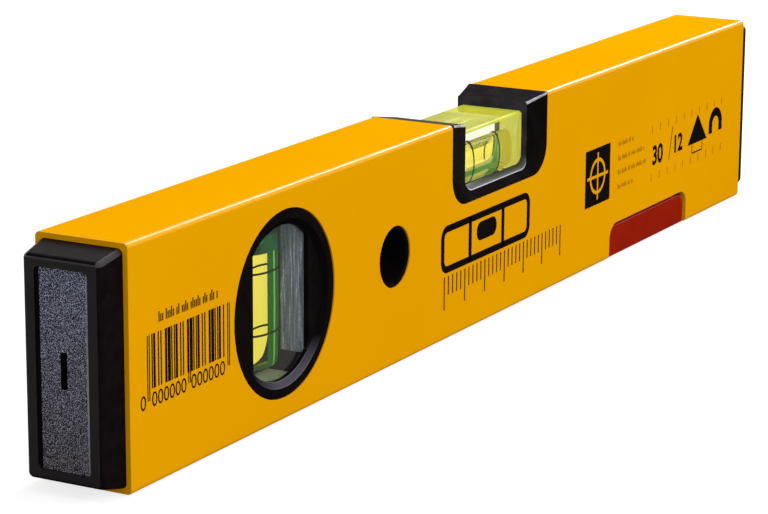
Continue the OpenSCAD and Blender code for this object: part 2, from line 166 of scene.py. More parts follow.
# %% Write the class for finishes
class Finish:
    """One material, and the nodes that it is made of."""

    def __init__(self, name):
        self.material = bpy.data.materials.new(name)
        self.material.use_nodes = True
        self.tree = self.material.node_tree
        self.tree.nodes.clear()

    @classmethod
    def over(cls, tree):
        """The same tools over a tree that is there already."""
        finish = cls.__new__(cls)
        finish.tree = tree
        return finish

    def node(self, kind, settings=None, sockets=None, output=0):
        """Adds a node with its settings, then its values and links, and gives one of its outputs."""
        made = self.tree.nodes.new(kind)
        for name, value in (settings or {}).items():
            if name == "stops":
                for spare in value[2:]:
                    made.color_ramp.elements.new(1.0)
                for element, (place, colour) in zip(made.color_ramp.elements, value):
                    element.position, element.color = place, (*colour, 1)
            else:
                setattr(made, name, value)
        for name, value in (sockets or {}).items():
            if isinstance(value, Pattern):
                self.tree.links.new(value.output, made.inputs[name])
            else:
                made.inputs[name].default_value = value
        return Pattern(self, made.outputs[output]) if made.outputs else None

    def place(self, stretch=(1, 1, 1)):
        """The place of a point on the piece, in metres, with each axis stretched by a factor."""
        place = self.node("ShaderNodeTexCoord", output="Object")
        return self.node("ShaderNodeVectorMath", {"operation": "MULTIPLY"}, {0: place, 1: stretch})

    def axis(self, name):
        """The X, Y or Z of that place."""
        return self.node("ShaderNodeSeparateXYZ", sockets={0: self.place()}, output=name)

    def noise(self, size, detail=2.0, stretch=(1, 1, 1)):
        """Smooth noise whose spots are about one size across, in metres."""
        return self.node("ShaderNodeTexNoise", sockets={
            "Vector": self.place(stretch), "Scale": 1 / size, "Detail": detail})

    def ramp(self, factor, *stops):
        """A colour that changes along stops of (place, colour)."""
        return self.node("ShaderNodeValToRGB", {"stops": stops}, {0: factor})

    def tint(self, share, first, second):
        """A share of the second colour over the first."""
        return self.node("ShaderNodeMix", {"data_type": "RGBA"}, {0: share, 6: first, 7: second}, output=2)

    def bump(self, height, depth):
        """Relief whose height goes from 0 to 1 over a depth in metres."""
        return self.node("ShaderNodeBump", sockets={"Height": height, "Strength": 1.0, "Distance": depth})

    def shader(self, kind="ShaderNodeBsdfPrincipled", **sockets):
        """A shader, its sockets named in words joined by underscores."""
        return self.node(kind, sockets={name.replace("_", " "): value for name, value in sockets.items()})

    def mix(self, factor, first, second):
        """A share of the second shader over the first."""
        return self.node("ShaderNodeMixShader", sockets={0: factor, 1: first, 2: second})

    def done(self, shader):
        """Sends a shader to the output and gives the finished material."""
        self.node("ShaderNodeOutputMaterial", sockets={"Surface": shader})
        return self.material

# %% [markdown]
# Helpers for modelling by hand
#
# Operators act on whatever is selected, so each step starts by selecting one piece alone. A
# modifier is applied as soon as it is added, so that a mesh always is what it shows. A finished
# piece has its place in its mesh and its object at the origin, and it rides on the level's only
# body.

# %% Write the modelling helpers
def pick(piece):
    """Selects one piece alone and makes it the active one."""
    bpy.ops.object.select_all(action="DESELECT")
    piece.select_set(True)
    bpy.context.view_layer.objects.active = piece


def modify(piece, kind, **settings):
    """Adds a modifier and applies it."""
    pick(piece)
    modifier = piece.modifiers.new(kind, kind)
    for name, value in settings.items():
        setattr(modifier, name, value)
    bpy.ops.object.modifier_apply(modifier=modifier.name)


def settle(piece, name, slot, *finishes):
    """Names a piece, puts its place into its mesh, gives its finishes and lets it ride."""
    pick(piece)
    bpy.ops.object.transform_apply(location=True, rotation=True, scale=True)
    piece.name = piece.data.name = name
    if not piece.data.materials:
        for finish in finishes:
            piece.data.materials.append(finish)
    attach(piece, "root")
    print(name, "has", len(piece.data.polygons), "faces")
    return piece


def cut(piece, *cutters):
    """Takes cutters away from a piece."""
    for cutter in cutters:
        modify(piece, "BOOLEAN", operation="DIFFERENCE", object=cutter, solver="EXACT")
        bpy.data.objects.remove(cutter)
    return piece

# %% [markdown]
# Rounded edges
#
# No moulded, coated or sawn edge is truly sharp, and the bright line along a rounding is what
# shows an edge to the eye. A Bevel modifier rounds all edges over an angle at once, with the same
# small width. The roundings get a finish of their own, because they shine where the flat faces
# beside them don't, and weighted normals keep those flat faces flat in the light.

# %% Write the helper for rounded edges
SHARP_FROM, SMOOTH_UP_TO = radians(30), radians(32)


def soften(piece, width, finishes, which=None, wide=None, is_wide=None):
    """Rounds the sharp edges of a piece. The roundings get the second of its finishes.

    The first finish is for all other faces, unless `which` gives a face the number of another.
    Edges that `is_wide` picks get a wider rounding first, in the fourth of the finishes.
    """
    piece.data.materials.clear()
    for finish in finishes:
        piece.data.materials.append(finish)
    for face in piece.data.polygons:
        face.material_index = which(face) if which else 0
    if wide:
        marks = piece.data.attributes.new("bevel_weight_edge", "FLOAT", "EDGE")
        for line, mark in zip(piece.data.edges, marks.data):
            mark.value = float(is_wide(*(piece.data.vertices[i].co for i in line.vertices)))
        modify(piece, "BEVEL", width=wide, segments=4, limit_method="WEIGHT", material=3,
               use_clamp_overlap=False)
        piece.data.attributes.remove(piece.data.attributes["bevel_weight_edge"])
    modify(piece, "BEVEL", width=width, segments=2, limit_method="ANGLE", angle_limit=SHARP_FROM,
           material=1, miter_outer="MITER_ARC")
    bpy.ops.object.shade_smooth_by_angle(angle=SMOOTH_UP_TO)
    modify(piece, "WEIGHTED_NORMAL", keep_sharp=True)

# %% [markdown]
# A solid of the frame is never changed, so its copy is what gets rounded. A solid is made of
# loose triangles. They are merged into flat faces first, or the bevel would follow every one.

# %% Write the helpers for copies of solids
MERGE_GAP, SEAM_GAP, FLAT_WITHIN = 0.002 * MM, 0.03 * MM, radians(0.5)


def merged_copy(node):
    """A copy of a solid whose triangles are merged into flat faces."""
    bpy.ops.object.select_all(action="DESELECT")
    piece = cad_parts[node].copy()
    piece.data = piece.data.copy()
    piece.parent = None
    bpy.context.scene.collection.objects.link(piece)
    pick(piece)
    bpy.ops.mesh.customdata_custom_splitnormals_clear()
    bpy.ops.object.mode_set(mode="EDIT")
    bpy.ops.mesh.select_all(action="SELECT")
    bpy.ops.mesh.remove_doubles(threshold=MERGE_GAP)
    bpy.ops.mesh.dissolve_limited(angle_limit=FLAT_WITHIN)
    bpy.ops.mesh.select_all(action="DESELECT")
    bpy.ops.object.mode_set(mode="OBJECT")
    return piece


def softened(node, width, slot, finishes, name, seam=None, reshape=None, **picked):
    """A copy of a solid, reshaped if need be, whose sharp edges are rounded.

    Points that `seam` picks lie there in pairs, a hair apart, and each pair becomes one point.
    """
    piece = merged_copy(node)
    if seam:
        for point in piece.data.vertices:
            point.select = seam(point.co)
        bpy.ops.object.mode_set(mode="EDIT")
        bpy.ops.mesh.remove_doubles(threshold=SEAM_GAP)
        bpy.ops.object.mode_set(mode="OBJECT")
    if reshape:
        for point in piece.data.vertices:
            point.co = reshape(point.co)
    soften(piece, width, finishes, **picked)
    settle(piece, name, slot)
    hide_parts(node)
    return piece

# %% [markdown]
# Turned pieces
#
# Bezels, chambers and the bubble are round about an axis, as if turned on a lathe. A spun outline
# would do, but its pole would be a fan of thin faces. Here a filled disc is extruded along X from
# station to station and scaled to each radius, so both ends stay one clean face.

# %% Write the turning helper
ROUND_SIDES = 128


def turned(stations):
    """A round solid along X, from its stations of (x, radius)."""
    (first_x, radius), *rest = stations
    bpy.ops.object.select_all(action="DESELECT")
    bpy.ops.mesh.primitive_circle_add(vertices=ROUND_SIDES, radius=radius, fill_type="NGON",
                                      location=(first_x, 0, 0), rotation=(0, pi / 2, 0))
    piece = bpy.context.object
    bpy.ops.object.transform_apply(location=True, rotation=True, scale=True)
    bpy.ops.object.mode_set(mode="EDIT")
    x = first_x
    for next_x, next_radius in rest:
        bpy.ops.mesh.extrude_region_move(TRANSFORM_OT_translate={"value": (next_x - x, 0, 0)})
        grow = next_radius / radius
        bpy.ops.transform.resize(value=(1, grow, grow), center_override=(next_x, 0, 0))
        x, radius = next_x, next_radius
    bpy.ops.mesh.select_all(action="SELECT")
    bpy.ops.mesh.normals_make_consistent(inside=False)
    bpy.ops.object.mode_set(mode="OBJECT")
    bpy.ops.object.shade_smooth_by_angle(angle=radians(35))
    return piece

# %% [markdown]
# The studio
#
# The level stands on a plain white floor in soft light. The floor and the world show as white
# to the camera and through glass, but the light that they give to the piece is plain, so that a
# colour renders about as it is written. The floor keeps a soft shadow.

# %% Make the floor and the world
FLOOR_SIZE, FLOOR_DROP = 8.0, 0.2 * MM
FLOOR_GLOW, FLOOR_PAPER, FLOOR_PLAIN = 0.78, 0.32, 0.25
WORLD_LIGHT = 0.33


def seen_directly(finish, *more):
    """1 where the camera looks, also through glass, and 0 for other light."""
    straight = finish.node("ShaderNodeLightPath", output="Is Camera Ray")
    for kind in ("Is Transmission Ray", *more):
        straight = straight.math("MAXIMUM", straight, finish.node("ShaderNodeLightPath", output=kind))
    return straight


def floor_finish():
    finish = Finish("floor")
    paper = FLOOR_PAPER + finish.noise(0.4) * 0.01
    plain = finish.shader("ShaderNodeBsdfDiffuse", Color=(FLOOR_PLAIN, FLOOR_PLAIN, FLOOR_PLAIN, 1))
    bright = finish.node("ShaderNodeAddShader", sockets={
        0: finish.shader("ShaderNodeBsdfDiffuse", Color=paper),
        1: finish.shader("ShaderNodeEmission", Color=(1, 1, 1, 1), Strength=FLOOR_GLOW)})
    return finish.done(finish.mix(seen_directly(finish), plain, bright))


bpy.ops.object.select_all(action="DESELECT")
bpy.ops.mesh.primitive_plane_add(size=FLOOR_SIZE, location=(0, 0, -FLOOR_DROP))
floor = bpy.context.object
floor.name = "floor"
floor.data.materials.append(floor_finish())
floor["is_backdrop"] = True

world = bpy.data.worlds.new("studio")
world.use_nodes = True
world.node_tree.nodes.clear()
bpy.context.scene.world = world
sky = Finish.over(world.node_tree)
strength = WORLD_LIGHT + seen_directly(sky, "Is Glossy Ray") * (1.0 - WORLD_LIGHT)
sky.node("ShaderNodeOutputWorld", sockets={
    "Surface": sky.node("ShaderNodeBackground", sockets={"Color": (1, 1, 1, 1), "Strength": strength})})
print("world gives", WORLD_LIGHT, "and shows as white")

# %% [markdown]
# The lamps
#
# A wide soft box in front lights the face, one straight above makes the top a little brighter, a
# weaker one lights the rear, and a small one near the camera reaches into the round window. They
# light without showing in gloss. A narrow box at the far end is the one that shows: it draws the
# bright lines along the edges of coat, caps and frame.

# %% Hang the lamps
def lamp(name, place, size, power, shows=False):
    """A rectangular soft box that looks at the level's middle."""
    light = bpy.data.lights.new(name, "AREA")
    light.shape, light.size, light.size_y, light.energy = "RECTANGLE", *size, power
    box = bpy.data.objects.new(name, light)
    box.location = place
    box.rotation_euler = (-Vector(place)).to_track_quat("-Z", "Y").to_euler()
    box.visible_glossy = shows
    bpy.context.scene.collection.objects.link(box)


lamp("front_box", (0.3, -1.4, 0.8), (1.4, 0.8), 16)
lamp("top_box", (0.0, -0.1, 1.6), (1.8, 0.6), 6.9)
lamp("rear_box", (-0.2, 1.5, 0.4), (1.4, 0.6), 5)
lamp("near_box", (-1.0, -1.0, 0.45), (0.5, 0.5), 5.2)
lamp("edge_box", (1.3, 0.0, 0.85), (0.22, 0.7), 17, shows=True)

# %% [markdown]
# The yellow coat
#
# The profile is extruded aluminium with a baked powder coat. Powder flows out into a skin with a
# very fine orange peel, so the gloss is soft. One noise makes the peel, another makes the slow
# changes of colour along the face, and a third one varies the roughness. The coat thickens on
# the edges and shines there, so the roundings get the same coat with more gloss.

# %% Finish and round the profile
def yellow_coat(name, gloss, rough):
    finish = Finish(name)
    drift = finish.ramp(finish.noise(0.06), (0.3, (0.765, 0.338, 0.0)), (0.7, (0.80, 0.360, 0.0)))
    peel = finish.noise(0.0011, 3)
    return finish.done(finish.shader(
        Base_Color=drift, Roughness=rough + finish.noise(0.004) * 0.06, Specular_IOR_Level=gloss,
        Normal=finish.bump(peel, 0.000006)))


def dress(material, *names):
    """Gives a material to solids whose form is kept."""
    for name in names:
        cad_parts[name].data.materials[0] = material
    print(material.name, "on", *names)


def on_long_edge(face):
    """1 on the roundings along the profile's two upper edges."""
    return int(abs(face.normal.x) < 0.02 and abs(face.normal.y) > 0.04 and face.normal.z > 0.04)


coat, coat_edge = yellow_coat("yellow_coat", 0.0, 0.25), yellow_coat("yellow_coat_edge", 0.10, 0.16)
dress(coat, "profile")
softened("profile", 0.22 * MM, "yellow_coat", (coat, coat_edge), "yellow_profile", which=on_long_edge)

# %% [markdown]
# The finish of the caps
#
# The caps are moulded in black plastic. The panel in the end face is spark-eroded in the mould,
# so it has a coarse grain. Its sparkle is painted: bright specks in the colour stand in for
# glints, and painted top light makes them bluish above and warmer below. The rim and the sides
# are smoother. A noise of the grain's size drives colour and relief together, because relief
# alone would be lost at this distance. The panel lies deeper than the rim, so it has a painted
# shadow, a dark band on the side that the rim shades, and a painted highlight, a bright line on
# the other.

# %% Finish the caps
CAP_PANEL_X = 156.2 * MM
# The painted shadow and the painted highlight along the panel's two sides are this wide.
SHADED_BAND, PAINTED_HIGHLIGHT_BAND = 0.75 * MM, 0.8 * MM
left_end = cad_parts["left_end_cap"].data


def on_cap_panel(face):
    """True on the flat panel in the end face, the one face that looks along X at its depth."""
    return abs(face.normal.x) > 0.99 and abs(abs(face.center.x) - CAP_PANEL_X) < 0.1 * MM


panel_half = max(left_end.vertices[i].co.y for face in left_end.polygons for i in face.vertices
                 if on_cap_panel(face))
print("the caps' panels are", round(2 * panel_half / MM, 1), "mm wide")


def cap_plastic(name, gloss):
    finish = Finish(name)
    cloud = finish.noise(0.002, 3)
    tone = finish.ramp(cloud, (0.3, (0.0045, 0.0028, 0.0030)), (0.7, (0.0075, 0.0052, 0.0056)))
    return finish.done(finish.shader(
        Base_Color=tone, Roughness=0.30 + cloud * 0.06, Specular_IOR_Level=gloss,
        Normal=finish.bump(finish.noise(0.0006, 2), 0.000012)))


def cap_grain_painted_light():
    finish = Finish("cap_grain_painted_light")
    sparks = finish.noise(0.00016, 2)
    # Painted top light: the grain is bluish and brighter above, warmer and darker below.
    painted_top_light = finish.axis("Z") * (1 / top_z) + finish.noise(0.012) * 0.3
    # The brightest stops of these ramps are painted glints.
    lit_specks = finish.ramp(
        sparks, (0.43, (0.012, 0.011, 0.018)), (0.55, (0.092, 0.092, 0.135)), (0.64, (0.72, 0.76, 1.0)))
    shaded_specks = finish.ramp(
        sparks, (0.43, (0.010, 0.007, 0.008)), (0.56, (0.060, 0.050, 0.055)), (0.65, (0.50, 0.45, 0.46)))
    # A painted shadow darkens the side of the panel that the rim shades, and the bright line along the
    # other side is a painted highlight.
    across = finish.axis("Y")
    bright = (across < PAINTED_HIGHLIGHT_BAND - panel_half) * finish.noise(0.02)
    tone = finish.tint(painted_top_light, shaded_specks, lit_specks)
    tone = finish.tint(across > panel_half - SHADED_BAND, tone, (0.006, 0.004, 0.006, 1))
    tone = finish.tint(bright, tone, (0.60, 0.60, 0.72, 1))
    return finish.done(finish.shader(
        Base_Color=tone, Roughness=0.5, Specular_IOR_Level=0.02, Normal=finish.bump(sparks, 0.0001)))


cap, cap_edge, panel_grain_and_light = cap_plastic("cap_plastic", 0.008), cap_plastic("cap_plastic_edge", 0.6), cap_grain_painted_light()
cap_rim, cap_top = cap_plastic("cap_plastic_rim", 0.35), cap_plastic("cap_plastic_top", 0.04)
dress(cap, "left_end_cap", "right_end_cap")

# %% [markdown]
# The caps themselves are right as they are, apart from their sharp edges. Each side of a cap
# meets the lamps at its own angle, and polished moulds wear unevenly, so each side gets its own
# share of gloss. A face is told by where it looks.

# %% Round the caps
def part_of_cap(face):
    """2 on the flat panel, 3 on the rim, 4 on top, 1 on upper slopes, 0 elsewhere."""
    if face.normal.z > 0.15 and abs(face.normal.y) > 0.15:
        return 1
    if abs(face.normal.x) > 0.9:
        return 2 if on_cap_panel(face) else 3
    return 4 if face.normal.z > 0.8 else 0


for end in ("left", "right"):
    softened(f"{end}_end_cap", 0.25 * MM, "cap_plastic", (cap, cap_edge, panel_grain_and_light, cap_rim, cap_top),
             f"{end}_cap", which=part_of_cap)

# %% [markdown]
# The black plastic
#
# The frame round the level vial, the bezels and the hang hole's sleeve are moulded in one deep
# black plastic. Its flat faces show no gloss from here, and its roundings do. Black is never
# zero: two nearly black tones in slow noise keep the faces from looking cut out. A tint that
# multiplies the colour makes lighter copies of the same plastic, which paint light into it: a
# painted bluish or brownish sheen on the sides where the room would show in it, and a painted
# highlight on the hips.

# %% Finish the black pieces
def frame_plastic(name, gloss, tint=(1.0, 0.7, 0.75)):
    finish = Finish(name)
    # A tint above one paints light into the colour.
    dark, light = ([shade * part for part in tint] for shade in (0.0030, 0.0055))
    tone = finish.ramp(finish.noise(0.004), (0.35, dark), (0.65, light))
    return finish.done(finish.shader(
        Base_Color=tone, Roughness=0.24 + finish.noise(0.002) * 0.08, Specular_IOR_Level=gloss,
        Normal=finish.bump(finish.noise(0.0008, 3), 0.00001)))


black, black_edge = frame_plastic("frame_plastic", 0.006), frame_plastic("frame_plastic_edge", 0.8)
dress(black, "level_vial_frame", "plumb_front_bezel", "plumb_rear_bezel", "hang_hole_sleeve")

# %% [markdown]
# The level vial's frame
#
# The frame holds the vial block between two posts. Its lip slopes inwards like a funnel, and its
# colour is painted light: a painted highlight along its crest, a painted green-grey reflection of
# the block, and painted shade towards the block and higher up. Such light could be painted on as
# a picture, but here the distance from the middle plane drives a colour ramp, which stays sharp at
# any distance. At the bottom the crest lies a little further out and higher than in the solid.

# %% Finish the frame's own faces
# The lip reaches outwards from its foot, and its painted shade grows upwards from where it fades.
LIP_FOOT_Y, LIP_WIDTH = 8.0 * MM, 1.6 * MM
LIP_FADE_Z, LIP_FADE = 34 * MM, 9 * MM


def painted_lip_light():
    """The lip round the vial block: a painted highlight near its crest, and painted shade higher up."""
    finish = Finish("frame_plastic_lip_painted_light")
    outwards = (abs(finish.axis("Y")) - LIP_FOOT_Y) * (1 / LIP_WIDTH) + finish.noise(0.0008, 3) * 0.1
    height = (finish.axis("Z") - LIP_FADE_Z) * (1 / LIP_FADE)
    outwards = outwards - height.math("MAXIMUM", height, 0.0)
    # The ramp is painted light: painted shade near the block, a painted green-grey reflection of the block,
    # and a painted highlight along the crest.
    tone = finish.ramp(outwards, (0.05, (0.016, 0.018, 0.010)), (0.6, (0.050, 0.058, 0.040)),
                       (0.86, (0.10, 0.10, 0.095)), (0.98, (0.50, 0.47, 0.53)))
    return finish.done(finish.shader(
        Base_Color=tone, Roughness=0.35, Specular_IOR_Level=0.1,
        Normal=finish.bump(finish.noise(0.0006), 0.00001)))


lip = painted_lip_light()
# Lighter copies of the black plastic paint light: painted sheen on the tops of the posts and on their inner
# sides, and a painted highlight on the hips.
black_top_painted_light = frame_plastic("frame_plastic_top_painted_light", 0.002, (3.0, 2.3, 2.6))
black_inner_painted_light = frame_plastic("frame_plastic_inner_painted_light", 0.0, (8.5, 8.0, 10.5))
black_hip_painted_highlight = frame_plastic("frame_plastic_hip_painted_highlight", 0.3, (85, 80, 93))
print("the frame has the finishes", *(m.name for m in (lip, black_top_painted_light, black_inner_painted_light, black_hip_painted_highlight)))

# %% [markdown]
# The crest is a line of points at one distance from the middle plane, so it can be picked by
# place. Between the tops of the posts and their slopes lie short hips, which are rounder than
# the other edges and shine most: besides their gloss they have a painted highlight.

# %% Reshape and round the frame
# Where the solid's crest is, and how far it moves at its lowest stretch.
CREST_Y, CREST_OUT, CREST_UP = 9.195 * MM, 0.4 * MM, 0.6 * MM
CREST_LOW, CREST_FROM, CREST_FADE = 31 * MM, 31.4 * MM, 3 * MM
# Heights that tell the lip, the tops of the posts and the hips.
LIP_TOP, POST_TOP, HIP_LOW = 44 * MM, 46 * MM, 47.5 * MM
HIP_WIDTH, HIP_LENGTH = 0.5 * MM, 3 * MM


def crest(point):
    """True on the crest, the line between the frame's outer slope and its inner lip."""
    return abs(abs(point.y) - CREST_Y) < 0.02 * MM and point.z > CREST_LOW


def raise_crest(point):
    """Moves the crest outwards and up at the bottom, less and less up the posts."""
    share = max(0.0, 1 - (point.z - CREST_FROM) / CREST_FADE) if crest(point) else 0.0
    return point + Vector((0, share * CREST_OUT * (1 if point.y > 0 else -1), share * CREST_UP))


def part_of_frame(face):
    """2 on the lip round the vial block, 4 on the tops of the posts, 5 on their inner sides, else 0."""
    middle, normal = face.center, face.normal
    slopes = abs(normal.y) > 0.2 and max(normal.z, abs(normal.x)) > 0.3
    if slopes and abs(middle.y) < 9.5 * MM and middle.z < LIP_TOP:
        return 2
    if middle.z > POST_TOP and normal.z > 0.5:
        return 4
    return 5 if middle.z > LIP_FADE_Z and abs(normal.x) > 0.9 and abs(middle.y) < 9 * MM else 0


def on_hip(start, end):
    """True on the hips of the posts, between their tops and the slopes in front and behind."""
    middle = (start + end) / 2
    beside = 9.25 * MM < abs(middle.y) < 10.45 * MM
    return beside and middle.z > HIP_LOW and (end - start).length > HIP_LENGTH


softened("level_vial_frame", 0.22 * MM, "frame_plastic",
         (black, black_edge, lip, black_hip_painted_highlight, black_top_painted_light, black_inner_painted_light), "level_frame",
         seam=crest, reshape=raise_crest, which=part_of_frame, wide=HIP_WIDTH, is_wide=on_hip)

# %% [markdown]
# The bezels
#
# A bezel is a ring with a drum behind it. Its opening is round above and below and straight at
# the sides, and in front lies a shallow dish. It is modelled again as it would be turned: a disc,
# less a bore from behind, less the dish, less the opening. The light that the lower part of the
# dish catches is painted into its colour: it is paler there, most of all at the bottom and a
# little to the right, and its roundings there get a paler painted highlight.

# %% Finish the dish of a bezel
DISH_R, DISH_END_R, DISH_DEPTH = 17.6 * MM, 16.4 * MM, 1.0 * MM
# The painted light starts this far under the middle and gains strength downwards and to the right.
PALE_FROM, PALE_FADE, PALE_ACROSS = 9.5 * MM, 7 * MM, 13 * MM


def painted_dish_light(name, palest):
    finish = Finish(name)
    across, down = finish.axis("X") - plumb_middle.x, plumb_middle.z - finish.axis("Z")
    low_down = (down - PALE_FROM) * (1 / PALE_FADE)
    to_right = (across + PALE_ACROSS) * (1 / PALE_ACROSS)
    share = low_down.math("MINIMUM", low_down, to_right) + finish.noise(0.0012, 3) * 0.12
    within = (across * across + down * down) < (DISH_R + 0.3 * MM) ** 2
    tone = finish.ramp(share * within, (0.12, (0.004, 0.003, 0.0035)), (0.95, palest))
    return finish.done(finish.shader(
        Base_Color=tone, Roughness=0.30, Specular_IOR_Level=0.0,
        Normal=finish.bump(finish.noise(0.0006), 0.00001)))


# The dish gets painted light, and its roundings a paler painted highlight.
dish_painted_light = painted_dish_light("frame_plastic_dish_painted_light", (0.072, 0.065, 0.085))
dish_edge_painted_highlight = painted_dish_light("frame_plastic_dish_edge_painted_highlight", (0.32, 0.30, 0.38))
print("the dish is", round((DISH_R - DISH_END_R) / MM, 1), "mm wide")

# %% [markdown]
# The bezel is built along X and then turned to look forwards or backwards. The boolean cuts leave
# faces with a hole in them, which a bevel can't follow, so faces with more than four corners are
# split into triangles before the edges are rounded.

# %% Model the bezels
BEZEL_T, DRUM_T = 2.05 * MM, 0.95 * MM
OPENING_R, OPENING_HALF, OPENING_START = 16.3 * MM, 10.8 * MM, 0.2 * MM


def on_dish(face):
    """2 on the dish, before the bezel is turned upright, and 0 elsewhere."""
    inside = face.center.x < DISH_DEPTH and face.center.yz.length > OPENING_R
    return 2 if inside and 0.3 < abs(face.normal.x) < 0.95 else 0


def bezel(node, outward, name):
    """Models a bezel along X, turns it to the front or the rear and settles it."""
    low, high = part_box(node)
    radius, length = (high.x - low.x) / 2, high.y - low.y
    piece = turned([(0, radius), (length, radius)])
    bore = turned([(BEZEL_T, radius - DRUM_T), (length + MM, radius - DRUM_T)])
    slope = (DISH_R - DISH_END_R) / DISH_DEPTH
    dish = turned([(-MM, DISH_R + slope * MM), (DISH_DEPTH, DISH_END_R)])
    opening = turned([(OPENING_START, OPENING_R), (2 * BEZEL_T, OPENING_R)])
    bpy.ops.object.select_all(action="DESELECT")
    bpy.ops.mesh.primitive_cube_add(size=1)
    slab = bpy.context.object
    slab.scale = (0.1, 2 * OPENING_HALF, 0.1)
    modify(opening, "BOOLEAN", operation="INTERSECT", object=slab, solver="EXACT")
    bpy.data.objects.remove(slab)
    cut(piece, bore, dish, opening)
    modify(piece, "TRIANGULATE", min_vertices=5)
    soften(piece, 0.12 * MM, (black, dish_edge_painted_highlight, dish_painted_light), on_dish)
    piece.rotation_euler.z = pi / 2 if outward < 0 else -pi / 2
    piece.location = ((low.x + high.x) / 2, low.y if outward < 0 else high.y, (low.z + high.z) / 2)
    settle(piece, name, "frame_plastic")
    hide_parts(node)


bezel("plumb_front_bezel", -1, "front_bezel")
bezel("plumb_rear_bezel", 1, "rear_bezel")

# %% [markdown]
# Holder, magnets and yoke
#
# The red holder is a plain moulding, so its solid only needs rounded edges. The magnets are
# nickel plated and their yoke is bare steel with the fine lines of its rolling. They hide in the
# holder and keep their solids. Metals get their colour from what they reflect, so their base
# colour is pale and their noise goes mostly into roughness.

# %% Finish the holder and what it carries
def holder_plastic(name, gloss):
    finish = Finish(name)
    tone = finish.ramp(finish.noise(0.008, 3), (0.3, (0.275, 0.010, 0.0020)), (0.7, (0.320, 0.013, 0.0030)))
    return finish.done(finish.shader(
        Base_Color=tone, Roughness=0.34 + finish.noise(0.003) * 0.1, Specular_IOR_Level=gloss,
        Normal=finish.bump(finish.noise(0.0007, 3), 0.00002)))


def magnet_nickel():
    finish = Finish("magnet_nickel")
    tone = finish.ramp(finish.noise(0.002, 3), (0.3, (0.62, 0.60, 0.56)), (0.7, (0.72, 0.70, 0.66)))
    return finish.done(finish.shader(
        Base_Color=tone, Metallic=1.0, Roughness=0.16 + finish.noise(0.001) * 0.12,
        Normal=finish.bump(finish.noise(0.0004), 0.000006)))


def yoke_steel():
    finish = Finish("yoke_steel")
    brushed = finish.noise(0.0003, 3, stretch=(0.05, 1, 1))
    tone = finish.ramp(brushed, (0.3, (0.42, 0.42, 0.43)), (0.7, (0.56, 0.56, 0.57)))
    return finish.done(finish.shader(
        Base_Color=tone, Metallic=1.0, Roughness=0.35, Normal=finish.bump(brushed, 0.00001)))


red, red_edge = holder_plastic("holder_plastic", 0.004), holder_plastic("holder_plastic_edge", 0.9)
dress(red, "magnet_holder")
softened("magnet_holder", 0.25 * MM, "holder_plastic", (red, red_edge), "red_holder")
dress(magnet_nickel(), "left_magnet", "right_magnet")
dress(yoke_steel(), "magnet_yoke")

# %% [markdown]
# Marks and resin
#
# The ring marks are black ink, a little uneven at its edges. Grey casting resin fills the drum
# beside the plumb vial, and it set in streaks: a noise that is drawn out along Z makes the
# streaks, and a fine one breaks them up. Both keep their solids.

# %% Finish the marks and the resin
def ink_finish(name, *colour):
    """Dry ink of a colour, a little uneven."""
    finish = Finish(name)
    tone = finish.ramp(finish.noise(0.0006, 3), (0.3, colour), (0.7, [1.6 * part for part in colour]))
    return finish.done(finish.shader(
        Base_Color=tone, Roughness=0.42 + finish.noise(0.001) * 0.1, Specular_IOR_Level=0.0,
        Normal=finish.bump(finish.noise(0.0004), 0.000004)))


def streaked_resin():
    finish = Finish("streaked_resin")
    streaks = finish.noise(0.0011, 6, stretch=(1, 1, 0.12)) * 0.75 + finish.noise(0.0006, 3) * 0.25
    tone = finish.ramp(streaks, (0.38, (0.09, 0.115, 0.15)), (0.52, (0.16, 0.20, 0.27)),
                       (0.60, (0.30, 0.37, 0.52)), (0.68, (0.80, 0.95, 1.0)))
    return finish.done(finish.shader(
        Base_Color=tone, Roughness=0.4, Specular_IOR_Level=0.1, Normal=finish.bump(streaks, 0.0001)))


ink, resin = ink_finish("black_ink", 0.005, 0.004, 0.004), streaked_resin()
dress(ink, "level_left_mark", "level_right_mark", "plumb_upper_mark", "plumb_lower_mark")
dress(resin, "plumb_left_resin", "plumb_right_resin")

# %% [markdown]
# Clear finishes
#
# Acrylic is glass with an index of 1.49. Each surface between two clear things gets the ratio of
# their indices: acrylic to air outside, liquid to acrylic at the chamber's wall, gas to acrylic
# where the bubble touches the wall, and gas to liquid on the bubble's underside. Lamps shine
# through all of them, because for shadow rays the shader is transparent. Real acrylic and real
# dye also scatter a little light, so a share of each shader is a plain body colour, and where
# that body colour glows, the glow is painted light.

# %% Write the clear finishes
def clear(name, index, tint, body=(0.6, 0.7, 0.5), share=0.01, glow=0.0, rough=0.0, painted_dye=None):
    """A clear finish: glass of an index and a tint, with a share of its body colour.

    Where light and shade are painted into the dye, `painted_dye` gives the body colour and the share from
    place to place.
    """
    finish = Finish(name)
    if painted_dye:
        cloud, share = painted_dye(finish)
    else:
        cloud = finish.ramp(finish.noise(0.006), (0.3, body), (0.7, [0.85 * part for part in body]))
    glass = finish.shader("ShaderNodeBsdfGlass", Color=(*tint, 1), Roughness=rough, IOR=index)
    # The glow of this body colour is painted light.
    dye = finish.shader(Base_Color=cloud, Roughness=0.5, Specular_IOR_Level=0.0,
                        Emission_Color=cloud, Emission_Strength=glow)
    film = finish.shader("ShaderNodeBsdfTransparent", Color=(*tint, 1))
    shadow = finish.node("ShaderNodeLightPath", output="Is Shadow Ray")
    return finish.done(finish.mix(shadow, finish.mix(share, glass, dye), film))


